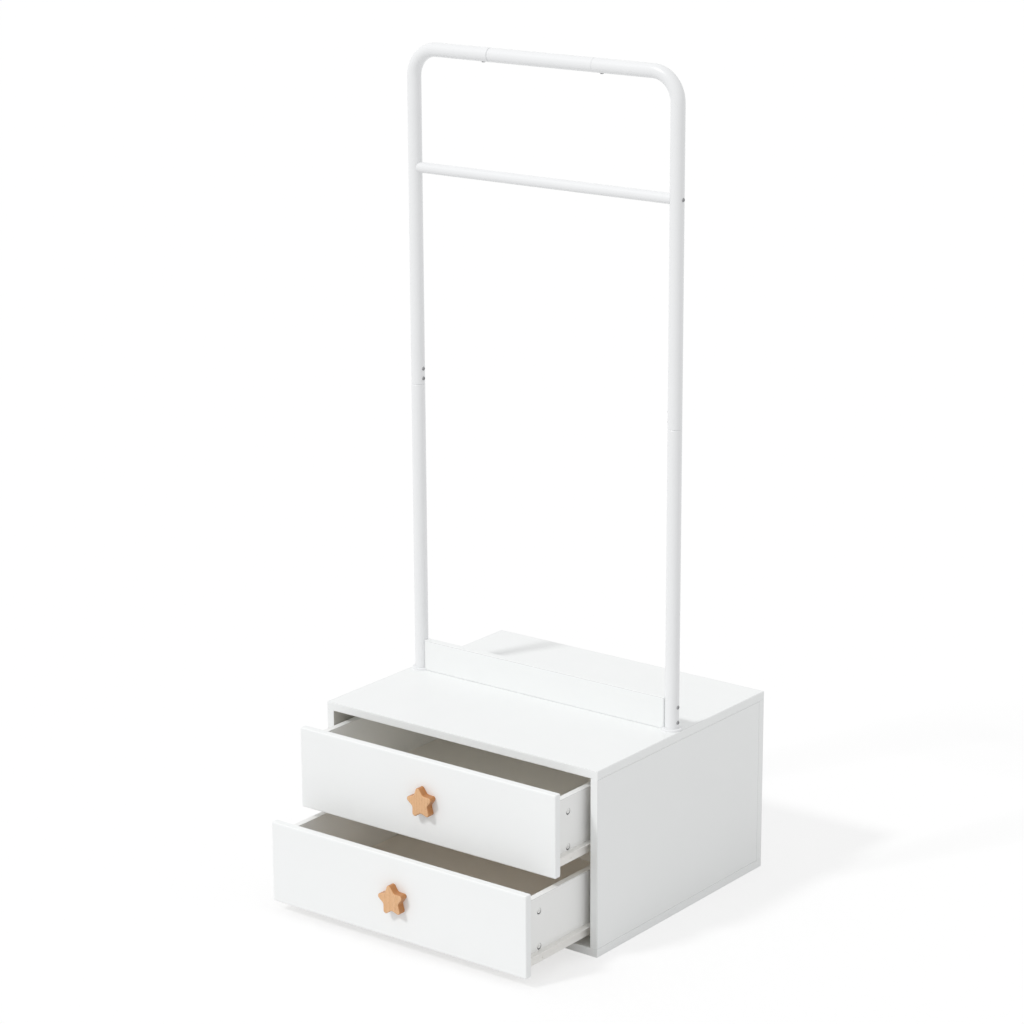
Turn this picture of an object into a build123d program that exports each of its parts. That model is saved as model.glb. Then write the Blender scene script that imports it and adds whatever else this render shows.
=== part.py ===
from build123d import *
import os

# Kids wardrobe: a low two-drawer cabinet with an open hanging frame of steel tube on its top.
# Millimetres. X runs to the right of someone who faces the drawers, Y to the back, Z up.
# The origin is the centre of the bottom panel's underside, on the floor.

# Cabinet boards
cabinet_width = 600.0
cabinet_depth = 515.0
cabinet_height = 340.0
board = 15.0
board_round = 1.0

# Drawer fronts, inset between the sides
front_board = 15.0
front_round = 2.5
front_gap = 3.0
front_floor_gap = 4.0

# How far each drawer stands open at rest
upper_open = 95.0
lower_open = 177.0

# Drawer boxes
side_board = 12.0
side_drop = 18.0
side_lift = 14.0
side_round = 0.8
drawer_rear_space = 40.0
bottom_sheet = 3.0
bottom_lift = 10.0
groove_depth = 5.0
groove_spare = 0.5

# Roller slides: a channel on the cabinet side, and an angle under the drawer side
slide_gap = 12.5
sheet = 1.0
channel_height = 19.5
channel_flange = 9.0
channel_lip = 2.0
channel_front_space = 2.5
channel_rear_space = 32.5
channel_cut = 32.0
runner_flange = 9.8
runner_over_channel = 1.0
runner_front_space = 1.0
runner_tail = 20.0
runner_screw_lift = 5.5
roller_radius = 8.5
roller_width = 7.0
roller_round = 0.6
roller_inset = 18.0
tail_roller_inset = 11.0
roller_gap = 0.25
roller_side_gap = 0.5
axle_radius = 2.5
axle_gap = 0.06
rivet_head_radius = 4.5
rivet_head = 1.2

# Hanging frame
frame_height = 1500.0
frame_setback = 248.0
post_inset = 19.0
tube_radius = 12.5
tube_wall = 1.2
bend_radius = 50.0
lower_post_length = 543.0
rail_joint_spacing = 224.0
spigot_length = 55.0
spigot_gap = 0.08
shoulder = 2.0
crossbar_drop = 210.5
crossbar_radius = 9.5
crossbar_wall = 1.0
low_board_height = 58.0
low_board = 15.0
low_board_round = 1.2
collar_radius = 18.0
collar_height = 4.0
collar_round = 1.2

# Screws and inserts of the hanging frame
post_screw_first = 10.0
post_screw_step = 18.0
rail_screw_first = 14.0
tube_screw_radius = 2.5
tube_screw_length = 8.0
tube_head_radius = 3.6
tube_head = 1.4
low_screw_edge = 15.0
low_screw_radius = 2.2
low_screw_reach = 22.0
bar_screw_radius = 3.0
bar_screw_reach = 14.0
foot_insert = 11.0
bar_insert = 20.0
stud_radius = 4.0
stud_in_insert = 10.0
stud_in_board = 12.0

# Cam fittings, dowels and wood screws
cam_radius = 7.4
cam_height = 10.0
drawer_cam_radius = 5.9
drawer_cam_height = 8.6
drawer_cam_recess = 1.0
cam_reach = 34.0
cam_bolt_radius = 3.0
cam_stub = 11.0
cam_from_end = 38.0
drawer_cam_edge = 27.0
dowel_radius = 4.0
dowel_in_panel = 10.0
dowel_in_side = 20.0
dowel_from_end = 75.0
carcass_screw_length = 50.0
carcass_screw_radius = 2.5
carcass_head_radius = 4.6
carcass_head = 3.0
carcass_screw_from_end = 30.0
back_screw_from_end = 80.0
drawer_screw_length = 32.0
drawer_screw_radius = 2.0
drawer_head_radius = 4.0
drawer_head = 2.4
drawer_screw_edge = 32.0
slide_screw_length = 11.0
slide_screw_radius = 1.7
slide_head_radius = 3.4
slide_head = 2.0
slide_screw_from_end = 40.0
recess_width = 0.9
recess_depth = 1.1
recess_share = 0.6
dome_share = 0.6
fit_gap = 0.1

# Star knobs
star_points = 5
star_turn = 8.0
star_point = 33.5
star_valley = 17.5
star_point_round = 5.0
star_valley_round = 6.0
knob_depth = 15.0
knob_front_round = 2.2
knob_back_round = 1.0
knob_screw_radius = 2.0
knob_screw_in_knob = 9.0
knob_head_radius = 4.5
knob_head = 2.6

# Places worked out from the sizes above
half_width = cabinet_width / 2
front_y = -cabinet_depth / 2
back_y = cabinet_depth / 2
side_back_y = back_y - board
inner_x = half_width - board
side_middle_x = half_width - board / 2
opening_bottom = board
opening_top = cabinet_height - board
front_height = (opening_top - opening_bottom - 2 * front_gap - front_floor_gap) / 2
lower_front_z = opening_bottom + front_floor_gap
upper_front_z = lower_front_z + front_height + front_gap
front_x = inner_x - front_gap
box_x = inner_x - slide_gap
channel_front_y = front_y + front_board + channel_front_space
channel_back_y = side_back_y - channel_rear_space
box_back_y = side_back_y - drawer_rear_space - runner_tail
runner_height = channel_height + runner_over_channel + sheet
post_x = half_width - post_inset
post_y = front_y + frame_setback
rail_z = frame_height - tube_radius
joint_z = cabinet_height + lower_post_length
crossbar_z = rail_z - crossbar_drop
bore_radius = tube_radius - tube_wall
spigot_radius = bore_radius - spigot_gap
rail_joint_x = rail_joint_spacing / 2
carcass_screw = (carcass_screw_length, carcass_screw_radius, carcass_head_radius, carcass_head)
drawer_screw = (drawer_screw_length, drawer_screw_radius, drawer_head_radius, drawer_head)
slide_screw = (slide_screw_length, slide_screw_radius, slide_head_radius, slide_head)

RIGHT = Vector(1, 0, 0)
BACK = Vector(0, 1, 0)
UP = Vector(0, 0, 1)
SIDES = (("left", -1), ("right", 1))

os.makedirs("parts", exist_ok=True)


def save(name, *pieces):
    """Write one piece, or a group of like pieces, to its own file."""
    solids = [solid for piece in pieces for solid in piece.solids()]
    export_step(Compound(children=solids) if len(solids) > 1 else solids[0], f"parts/{name}.step")


def block(x_span, y_span, z_span):
    """A box between two places along each axis, given in either order."""
    low = Vector(min(x_span), min(y_span), min(z_span))
    size = Vector(max(x_span), max(y_span), max(z_span)) - low
    return Pos(low) * Box(size.X, size.Y, size.Z, align=(Align.MIN, Align.MIN, Align.MIN))


def eased_board(x_span, y_span, z_span, radius):
    """A board with all its edges rounded over."""
    plain = block(x_span, y_span, z_span)
    return fillet(plain.edges(), radius)


def rod(start, direction, length, radius):
    """A round bar from a point along a direction."""
    bar = Cylinder(radius, length, align=(Align.CENTER, Align.CENTER, Align.MIN))
    return Plane(origin=start, z_dir=direction) * bar


def taper(start, direction, length, start_radius, end_radius):
    """A tapered bar from a point along a direction."""
    bar = Cone(start_radius, end_radius, length, align=(Align.CENTER, Align.CENTER, Align.MIN))
    return Plane(origin=start, z_dir=direction) * bar


def cross_recess(face, inward, radius):
    """The cross for a screwdriver, cut into a head whose face is at the given point."""
    bar = Box(2 * radius * recess_share, recess_width, recess_depth * 2)
    return Plane(origin=face, z_dir=inward) * (bar + Rot(0, 0, 90) * bar)


def flat_screw(face, inward, sizes):
    """A wood screw whose countersunk head lies flush at face. Sizes: length, radius, head radius, head."""
    length, radius, head_radius, head = sizes
    body = rod(face, inward, length, radius) + taper(face, inward, head, head_radius, radius)
    return body - cross_recess(face, inward, head_radius)


def flat_screw_hole(face, inward, sizes):
    """The hole that a countersunk screw fits, a fit gap larger all round."""
    length, radius, head_radius, head = sizes
    hole = rod(face, inward, length + fit_gap, radius + fit_gap)
    return hole + taper(face, inward, head, head_radius + fit_gap, radius + fit_gap)


def round_screw(face, inward, length, radius, head_radius, head):
    """A screw whose domed head stands on face."""
    dome = rod(face - inward * head, inward, head, head_radius)
    crown = dome.edges().filter_by(GeomType.CIRCLE).sort_by(Axis(tuple(face), tuple(inward)))[0]
    dome = fillet(crown, head * dome_share)
    body = dome + rod(face - inward * head / 2, inward, length + head / 2, radius)
    return body - cross_recess(face - inward * head, inward, head_radius)


def tube_screw(axis_point, outward, along_tube, length, radius):
    """A domed screw driven into a round tube, its head hollowed underneath to sit on the tube."""
    reach = 2 * tube_head_radius
    tube = rod(axis_point - along_tube * reach, along_tube, 2 * reach, tube_radius)
    seat = axis_point + outward * bore_radius
    head = round_screw(
        seat, outward * -1, length - tube_wall, radius, tube_head_radius, tube_head + tube_wall) - tube
    return head + rod(seat + outward * tube_wall, outward * -1, length, radius)


def cam_lock(face, inward, to_bolt, bolt_depth, radius, height):
    """A cam drum whose top is at face, with the socket that takes the bolt from one side."""
    drum = rod(face, inward, height, radius)
    start = face + inward * bolt_depth - to_bolt * fit_gap
    socket = rod(start, to_bolt, cam_reach, cam_bolt_radius + fit_gap)
    return drum - socket - cross_recess(face, inward, radius)


def cam_pocket(face, inward, radius, depth):
    """The round pocket that a cam drum turns in."""
    return rod(face, inward, depth + fit_gap, radius + fit_gap)


def cam_bolt(joint, to_cam, grow=0.0):
    """The bolt of a cam lock, screwed in past the joint face and reaching the drum's centre."""
    return rod(joint - to_cam * (cam_stub + grow), to_cam, cam_stub + cam_reach + grow, cam_bolt_radius + grow)


# Cabinet: the sides and back stand between the bottom and top panels, and the back closes the rear
bottom_panel = eased_board((-half_width, half_width), (front_y, back_y), (0, board), board_round)
top_panel = eased_board(
    (-half_width, half_width), (front_y, back_y), (opening_top, cabinet_height), board_round)
back_panel = eased_board(
    (-half_width, half_width), (side_back_y, back_y), (opening_bottom, opening_top), board_round)
side_panels = {
    name: eased_board(
        (side * inner_x, side * half_width), (front_y, side_back_y), (opening_bottom, opening_top), board_round)
    for name, side in SIDES
}

# Cabinet fittings: cams and dowels under the top, screws from below and from the back
cabinet_cams = []
cabinet_cam_bolts = []
cabinet_dowels = []
cabinet_screws = []
for name, side in SIDES:
    middle = side * side_middle_x
    outward = RIGHT * side
    side_panel = side_panels[name]
    for y in (front_y + cam_from_end, side_back_y - cam_from_end):
        joint = Vector(middle, y, opening_top)
        face = Vector(side * inner_x, y, opening_top - cam_reach)
        cabinet_cams.append(cam_lock(face, outward, UP, board / 2, cam_radius, cam_height))
        cabinet_cam_bolts.append(cam_bolt(joint, UP * -1))
        bolt_hole = cam_bolt(joint, UP * -1, fit_gap)
        side_panel -= cam_pocket(face, outward, cam_radius, cam_height) + bolt_hole
        top_panel -= bolt_hole
    for y in (front_y + dowel_from_end, side_back_y - dowel_from_end):
        for joint_z_here, into_panel in ((opening_top, UP), (opening_bottom, UP * -1)):
            start = Vector(middle, y, joint_z_here) + into_panel * dowel_in_panel
            length = dowel_in_panel + dowel_in_side
            cabinet_dowels.append(rod(start, into_panel * -1, length, dowel_radius))
            start += into_panel * fit_gap
            hole = rod(start, into_panel * -1, length + 2 * fit_gap, dowel_radius + fit_gap)
            side_panel -= hole
            if into_panel.Z > 0:
                top_panel -= hole
            else:
                bottom_panel -= hole
    for y in (front_y + carcass_screw_from_end, side_back_y - carcass_screw_from_end):
        face = Vector(middle, y, 0)
        cabinet_screws.append(flat_screw(face, UP, carcass_screw))
        hole = flat_screw_hole(face, UP, carcass_screw)
        bottom_panel -= hole
        side_panel -= hole
    for z in (opening_bottom + back_screw_from_end, opening_top - back_screw_from_end):
        face = Vector(middle, back_y, z)
        cabinet_screws.append(flat_screw(face, BACK * -1, carcass_screw))
        hole = flat_screw_hole(face, BACK * -1, carcass_screw)
        back_panel -= hole
        side_panel -= hole
    side_panels[name] = side_panel


def channel(side, bottom_z):
    """The steel channel screwed to a cabinet side. Its top flange stops short of the front roller."""
    web_x = inner_x - sheet
    lip_x = web_x - channel_flange
    length = (channel_front_y, channel_back_y)
    top_z = bottom_z + channel_height
    upper_length = (channel_front_y + channel_cut, channel_back_y)
    profile = block((side * web_x, side * inner_x), length, (bottom_z, top_z))
    profile += block((side * lip_x, side * web_x), length, (bottom_z, bottom_z + sheet))
    profile += block((side * lip_x, side * web_x), upper_length, (top_z - sheet, top_z))
    lip = (side * lip_x, side * (lip_x + sheet))
    profile += block(lip, upper_length, (bottom_z, bottom_z + sheet + channel_lip))
    profile += block(lip, upper_length, (top_z - sheet - channel_lip, top_z))
    return profile


def roller(side, inner_face, y, z):
    """A nylon wheel, bored for its rivet."""
    wheel = rod(Vector(side * inner_face, y, z), RIGHT * side, roller_width, roller_radius)
    wheel = fillet(wheel.edges(), roller_round)
    bore = rod(Vector(side * inner_face, y, z), RIGHT * side, roller_width, axle_radius + axle_gap)
    return wheel - bore


def slide_screw_places(start_y, end_y):
    """Three screws along a slide: one near each end and one between."""
    first = start_y + slide_screw_from_end
    last = end_y - slide_screw_from_end
    return (first, (first + last) / 2, last)


# Cabinet channels: a roller turns on a rivet at the front of each
roller_inner_x = inner_x - sheet - roller_side_gap - roller_width
front_roller_y = channel_front_y + roller_inset
front_roller_lift = channel_height + runner_over_channel - roller_gap - roller_radius
channel_screws = []
channel_rivets = []
for level, front_z in (("upper", upper_front_z), ("lower", lower_front_z)):
    channel_z = front_z + side_lift - sheet
    front_rollers = []
    for name, side in SIDES:
        rail = channel(side, channel_z)
        for y in slide_screw_places(channel_front_y, channel_back_y):
            face = Vector(side * (inner_x - sheet), y, channel_z + channel_height / 2)
            channel_screws.append(flat_screw(face, RIGHT * side, slide_screw))
            hole = flat_screw_hole(face, RIGHT * side, slide_screw)
            rail -= hole
            side_panels[name] -= hole
        roller_z = channel_z + front_roller_lift
        front_rollers.append(roller(side, roller_inner_x, front_roller_y, roller_z))
        head = Vector(side * (roller_inner_x - fit_gap), front_roller_y, roller_z)
        rivet = rod(head, RIGHT * side, inner_x - roller_inner_x + fit_gap, axle_radius)
        rivet += rod(head, RIGHT * -side, rivet_head, rivet_head_radius)
        channel_rivets.append(rivet)
        rail -= rod(head, RIGHT * side, slide_gap, axle_radius + axle_gap)
        save(f"{level}_{name}_channel", rail)
    save(f"{level}_front_rollers", *front_rollers)
save("channel_screws", *channel_screws)
save("channel_rivets", *channel_rivets)


def runner(side, start_y, end_y, bottom_z):
    """The steel angle under a drawer side: a foot below the board and a flange that rides outward."""
    web = (side * box_x, side * (box_x + sheet))
    length = (start_y, end_y)
    top_z = bottom_z + runner_height
    profile = block(web, length, (bottom_z, top_z))
    profile += block((side * (box_x - side_board), side * box_x), length, (bottom_z, bottom_z + sheet))
    profile += block((side * box_x, side * (box_x + sheet + runner_flange)), length, (top_z - sheet, top_z))
    return profile


def star_knob(face_y, z):
    """A chunky star with one point up and softly rounded edges, its back at face_y."""
    corners = []
    for corner in range(2 * star_points):
        radius = star_valley if corner % 2 else star_point
        corners.append(Vector(0, radius).rotate(Axis.Z, star_turn + corner * 180 / star_points))
    outline = make_face(Polyline(*corners, close=True))
    tips = [v for v in outline.vertices() if Vector(v.X, v.Y).length > (star_point + star_valley) / 2]
    outline = fillet(tips, star_point_round)
    valleys = [v for v in outline.vertices() if Vector(v.X, v.Y).length < star_valley + fit_gap]
    outline = fillet(valleys, star_valley_round)
    plane = Plane(origin=(0, face_y, z), x_dir=(1, 0, 0), z_dir=(0, -1, 0))
    star = extrude(plane * outline, knob_depth)
    faces = star.faces().sort_by(Axis.Y)
    star = fillet(faces[0].edges(), knob_front_round)
    return fillet(star.faces().sort_by(Axis.Y)[-1].edges(), knob_back_round)


def make_drawer(level, front_z, opened):
    """One drawer with its box, fittings, runners, rear rollers and knob, standing open by opened."""
    face_y = front_y - opened
    box_front = face_y + front_board
    box_back = box_back_y - opened
    side_z = front_z + side_lift
    side_top = front_z + front_height - side_drop
    sheet_z = side_z + bottom_lift
    front_top = front_z + front_height
    front = eased_board((-front_x, front_x), (face_y, box_front), (front_z, front_top), front_round)
    back_front = box_back - side_board
    inside_x = box_x - side_board
    back = eased_board((-inside_x, inside_x), (back_front, box_back), (side_z, side_top), side_round)
    groove_x = inside_x + groove_depth
    groove_y = (box_front - groove_depth, back_front + groove_depth)
    groove = block((-groove_x, groove_x), groove_y, (sheet_z - fit_gap, sheet_z + bottom_sheet + fit_gap))
    bottom_x = groove_x - groove_spare
    bottom_y = (groove_y[0] + groove_spare, groove_y[1] - groove_spare)
    front -= groove
    back -= groove
    save(f"{level}_drawer_bottom", block((-bottom_x, bottom_x), bottom_y, (sheet_z, sheet_z + bottom_sheet)))

    cams = []
    cam_bolts = []
    back_screws = []
    runner_screws = []
    rivets = []
    rear_rollers = []
    runner_y = (box_front + runner_front_space, box_back + runner_tail)
    runner_z = side_z - sheet
    roller_y = runner_y[1] - tail_roller_inset
    roller_z = runner_z + channel_height / 2
    for name, side in SIDES:
        inward = RIGHT * -side
        board_side = eased_board(
            (side * inside_x, side * box_x), (box_front, box_back), (side_z, side_top), side_round)
        board_side -= groove
        angle = runner(side, *runner_y, runner_z)
        for z in (side_z + drawer_cam_edge, side_top - drawer_cam_edge):
            face = Vector(side * box_x, box_front + cam_reach, z)
            joint = Vector(side * (box_x - side_board / 2), box_front, z)
            drum_top = face + inward * drawer_cam_recess
            bolt_depth = side_board / 2 - drawer_cam_recess
            cams.append(cam_lock(
                drum_top, inward, BACK * -1, bolt_depth, drawer_cam_radius, drawer_cam_height))
            cam_bolts.append(cam_bolt(joint, BACK))
            bolt_hole = cam_bolt(joint, BACK, fit_gap)
            pocket_depth = drawer_cam_recess + drawer_cam_height
            board_side -= cam_pocket(face, inward, drawer_cam_radius, pocket_depth) + bolt_hole
            front -= bolt_hole
        for z in (side_z + drawer_screw_edge, side_top - drawer_screw_edge):
            face = Vector(side * box_x, box_back - side_board / 2, z)
            back_screws.append(flat_screw(face, inward, drawer_screw))
            hole = flat_screw_hole(face, inward, drawer_screw)
            board_side -= hole
            back -= hole
        for y in slide_screw_places(runner_y[0], box_back):
            face = Vector(side * (box_x + sheet), y, runner_z + runner_screw_lift)
            runner_screws.append(flat_screw(face, inward, slide_screw))
            hole = flat_screw_hole(face, inward, slide_screw)
            board_side -= hole
            angle -= hole
        rear_rollers.append(roller(side, roller_inner_x, roller_y, roller_z))
        tip = Vector(side * (roller_inner_x + roller_width + fit_gap), roller_y, roller_z)
        rivet = rod(tip, inward, tip.X * side - box_x, axle_radius)
        rivet += rod(Vector(side * box_x, roller_y, roller_z), inward, rivet_head, rivet_head_radius)
        rivets.append(rivet)
        angle -= rod(tip, inward, slide_gap, axle_radius + axle_gap)
        save(f"{level}_drawer_{name}_side", board_side)
        save(f"{level}_drawer_{name}_runner", angle)

    knob_z = front_z + front_height / 2
    knob = star_knob(face_y, knob_z)
    screw_face = Vector(0, box_front, knob_z)
    screw_length = front_board + knob_screw_in_knob
    front -= rod(screw_face, BACK * -1, front_board, knob_screw_radius + fit_gap)
    knob -= rod(screw_face, BACK * -1, screw_length + fit_gap, knob_screw_radius + fit_gap)
    knob_screw = round_screw(
        screw_face, BACK * -1, screw_length, knob_screw_radius, knob_head_radius, knob_head)
    save(f"{level}_drawer_front", front)
    save(f"{level}_drawer_back", back)
    save(f"{level}_drawer_cam_locks", *cams)
    save(f"{level}_drawer_cam_bolts", *cam_bolts)
    save(f"{level}_drawer_back_screws", *back_screws)
    save(f"{level}_drawer_runner_screws", *runner_screws)
    save(f"{level}_drawer_rivets", *rivets)
    save(f"{level}_rear_rollers", *rear_rollers)
    save(f"{level}_star_knob", knob)
    save(f"{level}_knob_screw", knob_screw)


make_drawer("upper", upper_front_z, upper_open)
make_drawer("lower", lower_front_z, lower_open)

# Hanging frame: two posts and two bent corner tubes, a middle top tube, a crossbar and a low board
base_collars = []
tube_inserts = []
post_studs = []
post_screws = []
rail_screws = []
low_screws = []
crossbar_screws = []
posts = {}
corners = {}
post_axes = {}
for name, side in SIDES:
    foot = Vector(side * post_x, post_y, cabinet_height)
    joint = Vector(side * post_x, post_y, joint_z)
    post = rod(foot, UP, lower_post_length - shoulder, tube_radius)
    post += taper(joint - UP * shoulder, UP, shoulder, tube_radius, spigot_radius)
    post += rod(joint, UP, spigot_length, spigot_radius)
    post -= rod(foot, UP, lower_post_length - shoulder, bore_radius)
    post -= rod(foot, UP, lower_post_length + spigot_length, spigot_radius - tube_wall)
    posts[name] = post
    path = FilletPolyline(
        joint, Vector(side * post_x, post_y, rail_z), Vector(side * rail_joint_x, post_y, rail_z),
        radius=bend_radius)
    section_plane = Plane(origin=joint, z_dir=UP)
    outer = sweep(section_plane * Circle(tube_radius), path=path)
    corners[name] = outer - sweep(section_plane * Circle(bore_radius), path=path)
    collar = rod(foot, UP, collar_height, collar_radius)
    top_edge = collar.edges().filter_by(GeomType.CIRCLE).sort_by(Axis.Z)[-1]
    collar = fillet(top_edge, collar_round)
    base_collars.append(collar - rod(foot, UP, collar_height, tube_radius + fit_gap))

rail_start = Vector(-rail_joint_x, post_y, rail_z)
top_rail = rod(rail_start + RIGHT * shoulder, RIGHT, rail_joint_spacing - 2 * shoulder, tube_radius)
top_rail -= rod(rail_start + RIGHT * shoulder, RIGHT, rail_joint_spacing - 2 * shoulder, bore_radius)
for name, side in SIDES:
    end = Vector(side * rail_joint_x, post_y, rail_z)
    outward = RIGHT * side
    neck = taper(end - outward * shoulder, outward, shoulder, tube_radius, spigot_radius)
    neck += rod(end, outward, spigot_length, spigot_radius)
    neck -= rod(end - outward * shoulder, outward, shoulder + spigot_length, spigot_radius - tube_wall)
    top_rail += neck

bar_start = Vector(-post_x, post_y, crossbar_z)
crossbar = rod(bar_start, RIGHT, 2 * post_x, crossbar_radius)
crossbar -= rod(bar_start, RIGHT, 2 * post_x, crossbar_radius - crossbar_wall)
board_x = post_x - tube_radius - fit_gap
foot_board = eased_board(
    (-board_x, board_x), (post_y - low_board / 2, post_y + low_board / 2),
    (cabinet_height, cabinet_height + low_board_height), low_board_round)
for name, side in SIDES:
    outward = RIGHT * side
    foot = Vector(side * post_x, post_y, cabinet_height)
    crossbar -= rod(Vector(side * post_x, post_y, joint_z), UP, frame_height - joint_z, tube_radius + fit_gap)
    foot_board -= rod(foot, UP, collar_height + fit_gap, collar_radius + fit_gap)

    # A threaded plug closes the foot of the post, and a stud joins it to the top panel
    plug = rod(foot, UP, foot_insert, bore_radius - fit_gap)
    tube_inserts.append(plug - rod(foot, UP, foot_insert, stud_radius + fit_gap))
    stud_start = foot - UP * stud_in_board
    post_studs.append(rod(stud_start, UP, stud_in_board + stud_in_insert, stud_radius))
    top_panel -= rod(stud_start - UP * fit_gap, UP, stud_in_board + fit_gap, stud_radius + fit_gap)

    # Two screws pin the post's narrowed end inside the corner tube, on the inner side
    for step in range(2):
        z = joint_z + post_screw_first + step * post_screw_step
        place = Vector(side * post_x, post_y, z)
        hole = rod(place, outward * -1, tube_radius, tube_screw_radius + fit_gap)
        posts[name] -= hole
        post_screws.append(tube_screw(place, outward * -1, UP, tube_screw_length, tube_screw_radius))
        corners[name] -= hole

    # One screw under each joint of the top tube
    place = Vector(side * (rail_joint_x + rail_screw_first), post_y, rail_z)
    hole = rod(place, UP * -1, tube_radius, tube_screw_radius + fit_gap)
    rail_screws.append(tube_screw(place, UP * -1, RIGHT, tube_screw_length, tube_screw_radius))
    top_rail -= hole
    corners[name] -= hole

    # Screws through the post hold the ends of the low board
    for z in (cabinet_height + low_screw_edge, cabinet_height + low_board_height - low_screw_edge):
        place = Vector(side * post_x, post_y, z)
        length = 2 * tube_radius + low_screw_reach
        low_screws.append(tube_screw(place, outward, UP, length, low_screw_radius))
        hole = rod(place + outward * tube_radius, outward * -1, length + fit_gap, low_screw_radius + fit_gap)
        posts[name] -= hole
        foot_board -= hole

    # A screw through the corner tube reaches the plug in the crossbar's end
    place = Vector(side * post_x, post_y, crossbar_z)
    length = 2 * tube_radius + bar_screw_reach
    crossbar_screws.append(tube_screw(place, outward, UP, length, bar_screw_radius))
    hole = rod(place + outward * tube_radius, outward * -1, length + fit_gap, bar_screw_radius + fit_gap)
    corners[name] -= hole
    plug_start = Vector(side * (post_x - tube_radius - fit_gap), post_y, crossbar_z)
    plug = rod(plug_start, outward * -1, bar_insert, crossbar_radius - crossbar_wall - fit_gap)
    tube_inserts.append(plug - hole)

save("bottom_panel", bottom_panel)
save("top_panel", top_panel)
save("back_panel", back_panel)
save("left_side_panel", side_panels["left"])
save("right_side_panel", side_panels["right"])
save("cabinet_cam_locks", *cabinet_cams)
save("cabinet_cam_bolts", *cabinet_cam_bolts)
save("cabinet_dowels", *cabinet_dowels)
save("cabinet_screws", *cabinet_screws)
save("left_lower_post", posts["left"])
save("right_lower_post", posts["right"])
save("left_corner_tube", corners["left"])
save("right_corner_tube", corners["right"])
save("top_rail", top_rail)
save("crossbar", crossbar)
save("low_board", foot_board)
save("base_collars", *base_collars)
save("tube_inserts", *tube_inserts)
save("post_studs", *post_studs)
save("tube_joint_screws", *post_screws, *rail_screws)
save("low_board_screws", *low_screws)
save("crossbar_screws", *crossbar_screws)
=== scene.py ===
import math

import bpy
from mathutils import Matrix, Vector


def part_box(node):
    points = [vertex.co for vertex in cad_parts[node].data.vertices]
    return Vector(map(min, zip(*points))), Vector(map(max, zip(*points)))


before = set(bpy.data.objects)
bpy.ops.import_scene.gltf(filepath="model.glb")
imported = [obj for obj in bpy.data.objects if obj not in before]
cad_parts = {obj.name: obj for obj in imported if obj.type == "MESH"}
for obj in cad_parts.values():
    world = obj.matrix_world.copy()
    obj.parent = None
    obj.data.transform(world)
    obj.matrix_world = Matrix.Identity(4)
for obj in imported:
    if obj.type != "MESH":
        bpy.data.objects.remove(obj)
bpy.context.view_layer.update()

# Cabinet boards. Particle board with a pressed satin white melamine face, and a 1 mm band glued on every
# narrow edge, which leaves a hairline at the face. The sides stand on the bottom board and carry the
# top, and the back covers their rear edges. Their inner faces are greyer: painted shade inside the cabinet.


class Socket:
    """A socket of a material's nodes. Sums on it add the Math nodes that work them out."""

    def __init__(self, tree, plug=None):
        self.tree = tree
        self.plug = plug

    def node(self, kind, settings, values, output=0):
        """Adds a node: its settings first, then its sockets' values or links. Gives one of its outputs."""
        made = self.tree.nodes.new("ShaderNode" + kind)
        for name, setting in settings.items():
            setattr(made, name, setting)
        for name, value in values.items():
            if isinstance(value, Socket):
                self.tree.links.new(value.plug, made.inputs[name])
            else:
                made.inputs[name].default_value = value
        return Socket(self.tree, made.outputs[output] if made.outputs else None)

    def maths(self, operation, first, second=0.0):
        return self.node("Math", {"operation": operation}, {0: first, 1: second})

    def __add__(self, other):
        return self.maths("ADD", self, other)

    def __sub__(self, other):
        return self.maths("SUBTRACT", self, other)

    def __rsub__(self, other):
        return self.maths("SUBTRACT", other, self)

    def __mul__(self, other):
        return self.maths("MULTIPLY", self, other)

    def __abs__(self):
        return self.maths("ABSOLUTE", self)

    __radd__ = __add__
    __rmul__ = __mul__

    def least(self, other):
        return self.maths("MINIMUM", self, other)

    def most(self, other):
        return self.maths("MAXIMUM", self, other)

    def ramp(self, start, end):
        """0 up to start, 1 from end on, and smooth between."""
        ends = {"Value": self, "From Min": start, "From Max": end}
        return self.node("MapRange", {"interpolation_type": "SMOOTHSTEP"}, ends)

    def blend(self, colour, other):
        """The first colour where this value is 0, the other where it is 1."""
        return self.node("Mix", {"data_type": "RGBA"}, {0: self, 6: colour, 7: other}, 2)

    def place(self):
        """The point of the piece, in the part's own frame."""
        return self.node("TexCoord", {}, {}, "Object")

    def along(self, axis):
        """One of a point's coordinates: 0, 1 or 2."""
        return self.node("SeparateXYZ", {}, {0: self}, axis)

    def scaled(self, factors):
        return self.node("VectorMath", {"operation": "MULTIPLY"}, {0: self, 1: factors})

    def noise(self, scale, detail=2.0):
        """Cloudy noise at a point, with that many clouds to the metre."""
        return self.node("TexNoise", {}, {"Vector": self, "Scale": scale, "Detail": detail})

    def bump(self, depth):
        """The normal of a surface that this height, times depth in metres, makes uneven."""
        return self.node("Bump", {}, {"Strength": 1.0, "Distance": depth, "Height": self})


def finish(name, surface):
    """A material whose shader has the socket values that surface gives."""
    material = bpy.data.materials.new(name)
    material.use_nodes = True
    material.node_tree.nodes.clear()
    start = Socket(material.node_tree)
    shader = start.node("BsdfPrincipled", {}, surface(start))
    start.node("OutputMaterial", {}, {"Surface": shader})
    return material


def dress(material, *nodes):
    """Gives pieces of the part that material."""
    for node in nodes:
        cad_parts[node].material_slots[0].material = material


board_white = (0.893, 0.905, 0.903, 1)
board_shade = (0.872, 0.884, 0.881, 1)
band_seam_colour = (0.42, 0.43, 0.43, 1)
band = 0.001
band_seam = 0.0004
band_seam_depth = 0.75
pearl_scale = 1300
pearl_depth = 0.00002
board_clouds = 9
gloss_clouds = 40
# Painted shade: the side panels' inner faces are coloured greyer, for the shade inside the cabinet.
inner_painted_shade = (0.56, 0.545, 0.51, 1)
face_skin = 0.0002


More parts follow.
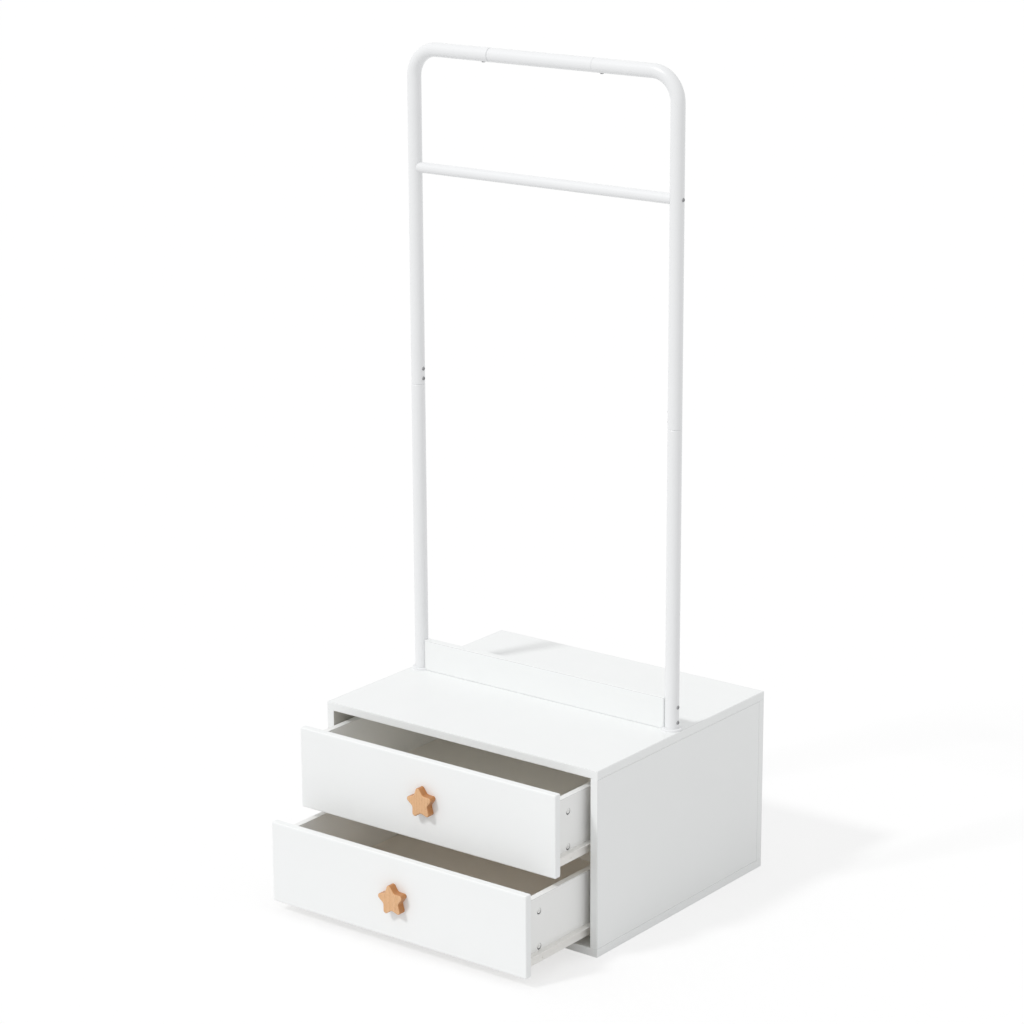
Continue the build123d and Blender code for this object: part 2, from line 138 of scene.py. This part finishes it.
def band_line(place, node, thin):
    """1 on the hairline between a board's edge band and its face, else 0. Thin is the board's thin axis."""
    low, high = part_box(node)
    wide = [axis for axis in range(3) if axis != thin]
    edges = [(place.along(axis) - low[axis]).least(high[axis] - place.along(axis)) for axis in wide]
    return 1 - abs(edges[0].least(edges[1]) - band).ramp(0, band_seam)


def melamine(node, thin, white, shade, inner=None):
    """Pressed white board with banded edges. Inner, if given, is a painted shade colour for the face nearer
    the part's middle, standing in for the shade there.
    """

    def surface(start):
        place = start.place()
        cloud = place.noise(board_clouds)
        line = band_line(place, node, thin) * band_seam_depth
        pearl = place.noise(pearl_scale) - line
        colour = line.blend(cloud.blend(shade, white), band_seam_colour)
        # Painted shade: the face nearer the part's middle takes the inner colour.
        if inner is not None:
            low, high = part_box(node)
            inner_face = min(abs(low[thin]), abs(high[thin]))
            outside = abs(place.along(thin)).ramp(inner_face, inner_face + face_skin)
            colour = outside.blend(inner, colour)
        return {
            "Base Color": colour,
            "Roughness": 0.36 + 0.12 * place.noise(gloss_clouds),
            "Normal": pearl.bump(pearl_depth),
        }

    return finish(node, surface)


sides = ("left", "right")
for node, thin in {"bottom_panel": 2, "top_panel": 2, "back_panel": 1}.items():
    dress(melamine(node, thin, board_white, board_shade), node)
for side in sides:
    node = f"{side}_side_panel"
    # The side panels' inner faces get painted shade.
    dress(melamine(node, 0, board_white, board_shade, inner_painted_shade), node)

# What holds the boards together. Cam locks and their bolts are nickel-plated zinc castings, the dowels
# are fluted beech, and long zinc-plated screws go up through the bottom and in through the back.

cam_light = (0.74, 0.74, 0.725, 1)
cam_dark = (0.50, 0.50, 0.49, 1)
casting_clouds = 260
casting_gloss = 900
casting_pits = 1500
casting_pit_depth = 0.00003


def cast_zinc(start):
    """Nickel-plated casting, a little uneven from the mould."""
    place = start.place()
    cloud = place.noise(casting_clouds, 3)
    return {
        "Base Color": cloud.blend(cam_dark, cam_light),
        "Metallic": 1.0,
        "Roughness": 0.26 + 0.2 * place.noise(casting_gloss),
        "Normal": place.noise(casting_pits).bump(casting_pit_depth),
    }


dress(finish("cast_zinc", cast_zinc), "cabinet_cam_locks", "cabinet_cam_bolts")

steel_blue = (0.60, 0.63, 0.68, 1)
steel_yellow = (0.70, 0.68, 0.60, 1)
tint_clouds = 120
drawn_lines = 2600
drawn_depth = 0.00001


def zinc_plate(start):
    """Zinc plate on steel: its tint drifts from bluish to yellowish, with fine drawn lines."""
    place = start.place()
    lines = place.scaled((1, 1, 0.1)).noise(drawn_lines)
    return {
        "Base Color": place.noise(tint_clouds).blend(steel_blue, steel_yellow),
        "Metallic": 1.0,
        "Roughness": 0.25 + 0.2 * lines,
        "Normal": lines.bump(drawn_depth),
    }


plated = finish("zinc_plate", zinc_plate)
dress(plated, "cabinet_screws")

beech_light = (0.760, 0.470, 0.270, 1)
beech_mid = (0.640, 0.355, 0.180, 1)
beech_dark = (0.330, 0.135, 0.050, 1)
beech_wall_painted_shade = (0.500, 0.205, 0.055, 1)
ring_pitch = 0.0045
fleck_stretch = 14
fibre_scale = 1400
fleck_scale = 2600
pore_depth = 0.00004
dowel_pith = (0.3, 0.02, 0.03)


def beech(grain, pith, light, dark, face=None):
    """Beech: growth rings about a pith line, fine fibres, and the short dark flecks of its rays.
    What faces away from the face axis is coloured darker and redder: painted shade on the walls."""

    def surface(start):
        place = start.place()
        rings = start.node(
            "TexWave",
            {"wave_type": "RINGS", "rings_direction": "XYZ"[grain], "wave_profile": "SAW"},
            {
                "Vector": start.node("VectorMath", {"operation": "SUBTRACT"}, {0: place, 1: pith}),
                "Scale": 0.05 / ring_pitch * math.tau,
                "Distortion": 1.5,
                "Detail": 2.0,
                "Detail Scale": 3.0,
            },
            1,
        )
        long_grain = [1.0, 1.0, 1.0]
        long_grain[grain] = 1 / fleck_stretch
        stretched = place.scaled(long_grain)
        fibre = stretched.noise(fibre_scale, 3)
        fleck = stretched.noise(fleck_scale, 1).ramp(0.62, 0.70)
        wood = (0.55 * rings + 0.45 * fibre).blend(light, dark)
        # Painted shade: walls that face away from the face axis are coloured darker and redder.
        if face is not None:
            facing = abs(start.node("TexCoord", {}, {}, "Normal").along(face))
            wood = (1 - facing.ramp(0.3, 0.95)).blend(wood, beech_wall_painted_shade)
        return {
            "Base Color": (0.55 * fleck).blend(wood, beech_dark),
            "Roughness": 0.36 + 0.12 * fibre,
            "Coat Weight": 0.25 + 0.1 * fibre,
            "Coat Roughness": 0.22,
            "Normal": (fibre - 0.6 * fleck).bump(pore_depth),
        }

    return surface


dress(finish("dowel_beech", beech(0, dowel_pith, beech_light, beech_mid)), "cabinet_dowels")

# Drawer slides. Sheet steel channels rolled to shape and coated with warm white epoxy, screwed to the
# cabinet sides. A nylon wheel on a rivet is at the front of each channel and at the rear of each runner.

epoxy_light = (0.875, 0.862, 0.832, 1)
epoxy_worn = (0.800, 0.785, 0.750, 1)
rub_scale = 900
epoxy_peel = 1100
epoxy_peel_depth = 0.00003


def epoxy_steel(start):
    """Warm white epoxy powder on rolled sheet, a little rubbed in lines along the slide."""
    place = start.place()
    rub = place.scaled((1, 0.02, 1)).noise(rub_scale, 1).ramp(0.55, 0.75)
    return {
        "Base Color": (0.3 * rub).blend(epoxy_light, epoxy_worn),
        "Roughness": 0.40 - 0.12 * rub,
        "Normal": place.noise(epoxy_peel, 1).bump(epoxy_peel_depth),
    }


epoxy = finish("epoxy_steel", epoxy_steel)
levels = ("upper", "lower")
dress(epoxy, *(f"{level}_{side}_channel" for level in levels for side in sides))
dress(plated, "channel_screws", "channel_rivets")

nylon_light = (0.88, 0.88, 0.85, 1)
nylon_shade = (0.80, 0.79, 0.75, 1)
wheel_ring_pitch = 0.0012
wheel_ring_depth = 0.00003
tread_wear = 0.0006
tread_clouds = 500


def nylon(node):
    """Moulded nylon wheels: turned rings on their faces, and a tread that has gone a little grey."""
    low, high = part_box(node)
    middle_y = (low.y + high.y) / 2
    middle_z = (low.z + high.z) / 2
    rim = (high.z - low.z) / 2

    def surface(start):
        place = start.place()
        y = place.along(1) - middle_y
        z = place.along(2) - middle_z
        radius = start.maths("SQRT", y * y + z * z)
        rings = start.maths("SINE", radius * (math.tau / wheel_ring_pitch))
        tread = radius.ramp(rim - tread_wear, rim)
        return {
            "Base Color": (tread * place.noise(tread_clouds)).blend(nylon_light, nylon_shade),
            "Roughness": 0.38 + 0.2 * tread,
            "Subsurface Weight": 0.2,
            "Subsurface Scale": 0.002,
            "Normal": rings.bump(wheel_ring_depth),
        }

    return finish(node, surface)


for level in levels:
    for end in ("front", "rear"):
        wheels = f"{level}_{end}_rollers"
        dress(nylon(wheels), wheels)

# Drawer boxes. Thinner white boards, banded along their edges, with a sheet of white-faced fibreboard
# slid into a groove near their lower edge.

drawer_white = (0.892, 0.895, 0.885, 1)
drawer_shade = (0.872, 0.874, 0.862, 1)
sheet_white = (0.905, 0.872, 0.822, 1)
sheet_shade = (0.885, 0.850, 0.800, 1)
sheet_fibres = 700
sheet_clouds = 30
sheet_depth = 0.00005


def fibre_sheet(start):
    """Thin fibreboard with a printed matt white face, through which the pressed fibres show faintly."""
    place = start.place()
    fibres = place.noise(sheet_fibres, 4)
    return {
        "Base Color": (0.5 * place.noise(sheet_clouds) + 0.5 * fibres).blend(sheet_white, sheet_shade),
        "Roughness": 0.55 + 0.15 * fibres,
        "Normal": fibres.bump(sheet_depth),
    }


sheet = finish("fibre_sheet", fibre_sheet)
for level in levels:
    for side in sides:
        board = f"{level}_drawer_{side}_side"
        dress(melamine(board, 0, drawer_white, drawer_shade), board)
    board = f"{level}_drawer_back"
    dress(melamine(board, 1, drawer_white, drawer_shade), board)
    dress(sheet, f"{level}_drawer_bottom")

# What holds the drawers together: cam locks let into the outer faces of their sides, screws at the
# back, and the runners, which are steel angles screwed up under the sides and coated with their screws.

lock_light = (0.90, 0.90, 0.89, 1)
lock_dark = (0.84, 0.84, 0.83, 1)
# Painted shadow: a dark sickle near the rim of each drawer lock, set off centre so it is thicker on one
# side.
lock_painted_shadow = (0.05, 0.05, 0.05, 1)
shadow_offset = 0.0007
shadow_fade_start = 0.0015
shadow_fade_end = 0.0007


def drawer_lock(node):
    """Bright cast locks, each with a dark sickle painted near one side of its rim: painted shadow, for the
    shade in its recess.
    """
    low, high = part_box(node)
    radius = (high.y - low.y) / 2
    middle_y = low.y + radius + shadow_offset
    upper_z = high.z - radius + shadow_offset
    lower_z = low.z + radius + shadow_offset

    def surface(start):
        place = start.place()
        y = place.along(1) - middle_y
        z = abs(place.along(2) - upper_z).least(abs(place.along(2) - lower_z))
        away = start.maths("SQRT", y * y + z * z)
        # Painted shadow: dark near the rim, thicker on one side.
        sickle = away.ramp(radius - shadow_fade_start, radius - shadow_fade_end)
        metal = place.noise(casting_clouds, 3).blend(lock_dark, lock_light)
        return {
            "Base Color": sickle.blend(metal, lock_painted_shadow),
            "Metallic": 0.15 - 0.15 * sickle,
            "Roughness": 0.40 + 0.3 * sickle,
            "Normal": place.noise(casting_pits).bump(casting_pit_depth),
        }

    return finish(node, surface)


bolt_zinc = finish("drawer_cast_zinc", cast_zinc)
for level in levels:
    drawer = f"{level}_drawer_"
    dress(drawer_lock(drawer + "cam_locks"), drawer + "cam_locks")
    dress(bolt_zinc, drawer + "cam_bolts")
    dress(plated, drawer + "back_screws", drawer + "rivets")
    dress(epoxy, drawer + "left_runner", drawer + "right_runner", drawer + "runner_screws")

# Drawer fronts. Fibreboard with its edges rounded over, wrapped in one satin white foil without a seam.

front_white = (0.900, 0.912, 0.912, 1)
front_shade = (0.880, 0.892, 0.891, 1)
front_clouds = 8
front_gloss = 60
front_peel = 800
front_wave = 25
front_peel_depth = 0.000025


def wrapped_foil(start):
    """Satin foil pressed over fibreboard: a fine even peel and a very slight long wave."""
    place = start.place()
    peel = place.noise(front_peel, 1)
    return {
        "Base Color": place.noise(front_clouds).blend(front_shade, front_white),
        "Roughness": 0.34 + 0.1 * place.noise(front_gloss),
        "Normal": (peel + 3 * place.noise(front_wave, 0)).bump(front_peel_depth),
    }


dress(finish("wrapped_foil", wrapped_foil), "upper_drawer_front", "lower_drawer_front")

# Star knobs. Solid beech cut to a five-pointed star with round points, sanded, and given a clear satin
# lacquer. Each is held by one screw from inside the drawer.

knob_pith = (0.05, -0.33, -0.05)
knob_light = (0.800, 0.490, 0.265, 1)
knob_dark = (0.680, 0.375, 0.175, 1)
for level in levels:
    # face=1 gives the star's walls painted shade, darker and redder than its face.
    knob_wood = finish(f"{level}_star_wood", beech(2, knob_pith, knob_light, knob_dark, face=1))
    dress(knob_wood, f"{level}_star_knob")
    dress(plated, f"{level}_knob_screw")

# Hanging frame. Steel tubes bent and swaged, then coated with white powder. Each narrowed end slips into
# the next tube and small screws hold it; studs join the feet to the cabinet's top.

powder_white = (0.852, 0.860, 0.868, 1)
powder_shade = (0.832, 0.839, 0.848, 1)
powder_clouds = 12
powder_gloss = 90
powder_peel = 650
powder_peel_depth = 0.00003


def powder_coat(start):
    """Baked white powder: smooth and satin, with the faint peel that powder leaves."""
    place = start.place()
    return {
        "Base Color": place.noise(powder_clouds).blend(powder_shade, powder_white),
        "Roughness": 0.30 + 0.08 * place.noise(powder_gloss),
        "Normal": place.noise(powder_peel, 1).bump(powder_peel_depth),
    }


powder = finish("powder_coat", powder_coat)
for side in sides:
    dress(powder, f"{side}_lower_post", f"{side}_corner_tube")
dress(powder, "top_rail", "crossbar", "base_collars")
dress(plated, "tube_inserts", "post_studs")

screw_light = (0.42, 0.42, 0.43, 1)
screw_dark = (0.24, 0.24, 0.25, 1)
screw_mottle = 900
screw_gloss = 1200
screw_pits = 1500
screw_pit_depth = 0.00002


def screw_coat(start):
    """Grey zinc flake coat on screw heads, a little mottled."""
    place = start.place()
    return {
        "Base Color": place.noise(screw_mottle).blend(screw_dark, screw_light),
        "Roughness": 0.32 + 0.1 * place.noise(screw_gloss),
        "Metallic": 0.6,
        "Normal": place.noise(screw_pits).bump(screw_pit_depth),
    }


dress(finish("screw_coat", screw_coat), "tube_joint_screws", "crossbar_screws", "low_board_screws")

# Low board between the feet of the posts: the same pressed white board as the cabinet's, on its edge,
# held by a screw through each post.

dress(melamine("low_board", 1, board_white, board_shade), "low_board")

# Floor, light and background. A plain pale floor, an even sky and one soft sun from the front left.
# What the camera and the reflections see of them is white; the floor keeps a faint shadow.

sky_level = 0.75
floor_size = 40
floor_white = (0.8, 0.8, 0.8, 1)
shadow_share = 0.35
sun_turn = math.radians(23)
sun_height = math.radians(48)
sun_strength = 1.1
sun_width = math.radians(7)
white = (1, 1, 1, 1)
bounces = 24


def seen_directly(start):
    """1 for what the camera, a reflection or glass sees, 0 for what lights a surface."""
    camera_ray = start.node("LightPath", {}, {}, "Is Camera Ray")
    mirror_ray = start.node("LightPath", {}, {}, "Is Glossy Ray")
    glass_ray = start.node("LightPath", {}, {}, "Is Transmission Ray")
    return camera_ray.most(mirror_ray).most(glass_ray)


world = bpy.data.worlds.new("studio")
world.use_nodes = True
world.node_tree.nodes.clear()
sky = Socket(world.node_tree)
sky_strength = sky_level + (1 - sky_level) * seen_directly(sky)
sky_light = sky.node("Background", {}, {"Color": white, "Strength": sky_strength})
sky.node("OutputWorld", {}, {"Surface": sky_light})
bpy.context.scene.world = world

floor_mesh = bpy.data.meshes.new("floor")
half = floor_size / 2
floor_corners = [(-half, -half, 0), (half, -half, 0), (half, half, 0), (-half, half, 0)]
floor_mesh.from_pydata(floor_corners, [], [(0, 1, 2, 3)])
floor = bpy.data.objects.new("floor", floor_mesh)
bpy.context.scene.collection.objects.link(floor)
floor_paint = bpy.data.materials.new("floor_paint")
floor_paint.use_nodes = True
floor_paint.node_tree.nodes.clear()
paint = Socket(floor_paint.node_tree)
plain = paint.node("BsdfDiffuse", {}, {"Color": floor_white})
shaded = paint.node("BsdfDiffuse", {}, {"Color": white})
lit = paint.node("Emission", {}, {"Color": white, "Strength": 1.0})
backdrop = paint.node("MixShader", {}, {0: shadow_share, 1: lit, 2: shaded})
floor_shader = paint.node("MixShader", {}, {0: seen_directly(paint), 1: plain, 2: backdrop})
paint.node("OutputMaterial", {}, {"Surface": floor_shader})
floor_mesh.materials.append(floor_paint)

sun_data = bpy.data.lights.new("sun", "SUN")
sun_data.energy = sun_strength
sun_data.angle = sun_width
sun = bpy.data.objects.new("sun", sun_data)
level_part = math.cos(sun_height)
to_sun = Vector((
    -math.sin(sun_turn) * level_part,
    -math.cos(sun_turn) * level_part,
    math.sin(sun_height),
))
sun.rotation_euler = to_sun.to_track_quat("Z", "Y").to_euler()
bpy.context.scene.collection.objects.link(sun)
bpy.context.scene.view_settings.view_transform = "Standard"
bpy.context.scene.cycles.diffuse_bounces = bounces
bpy.context.scene.cycles.max_bounces = bounces

# Camera, at the place from which the photograph was taken.

camera_turn = math.radians(37.468)
camera_tilt = math.radians(90 - 15.882)
camera_roll = math.radians(-0.282)
camera_stand = (3.163746, -4.227377, 2.188137)
camera_lens = 108.77
film_width = 36
camera_data = bpy.data.cameras.new("camera")
camera_data.sensor_width = film_width
camera_data.lens = camera_lens
camera = bpy.data.objects.new("camera", camera_data)
turned = Matrix.Rotation(camera_turn, 4, "Z")
tilted = Matrix.Rotation(camera_tilt, 4, "X")
rolled = Matrix.Rotation(camera_roll, 4, "Z")
stood = Matrix.Translation(camera_stand)
camera.matrix_world = stood @ turned @ tilted @ rolled
bpy.context.scene.collection.objects.link(camera)
bpy.context.scene.camera = camera
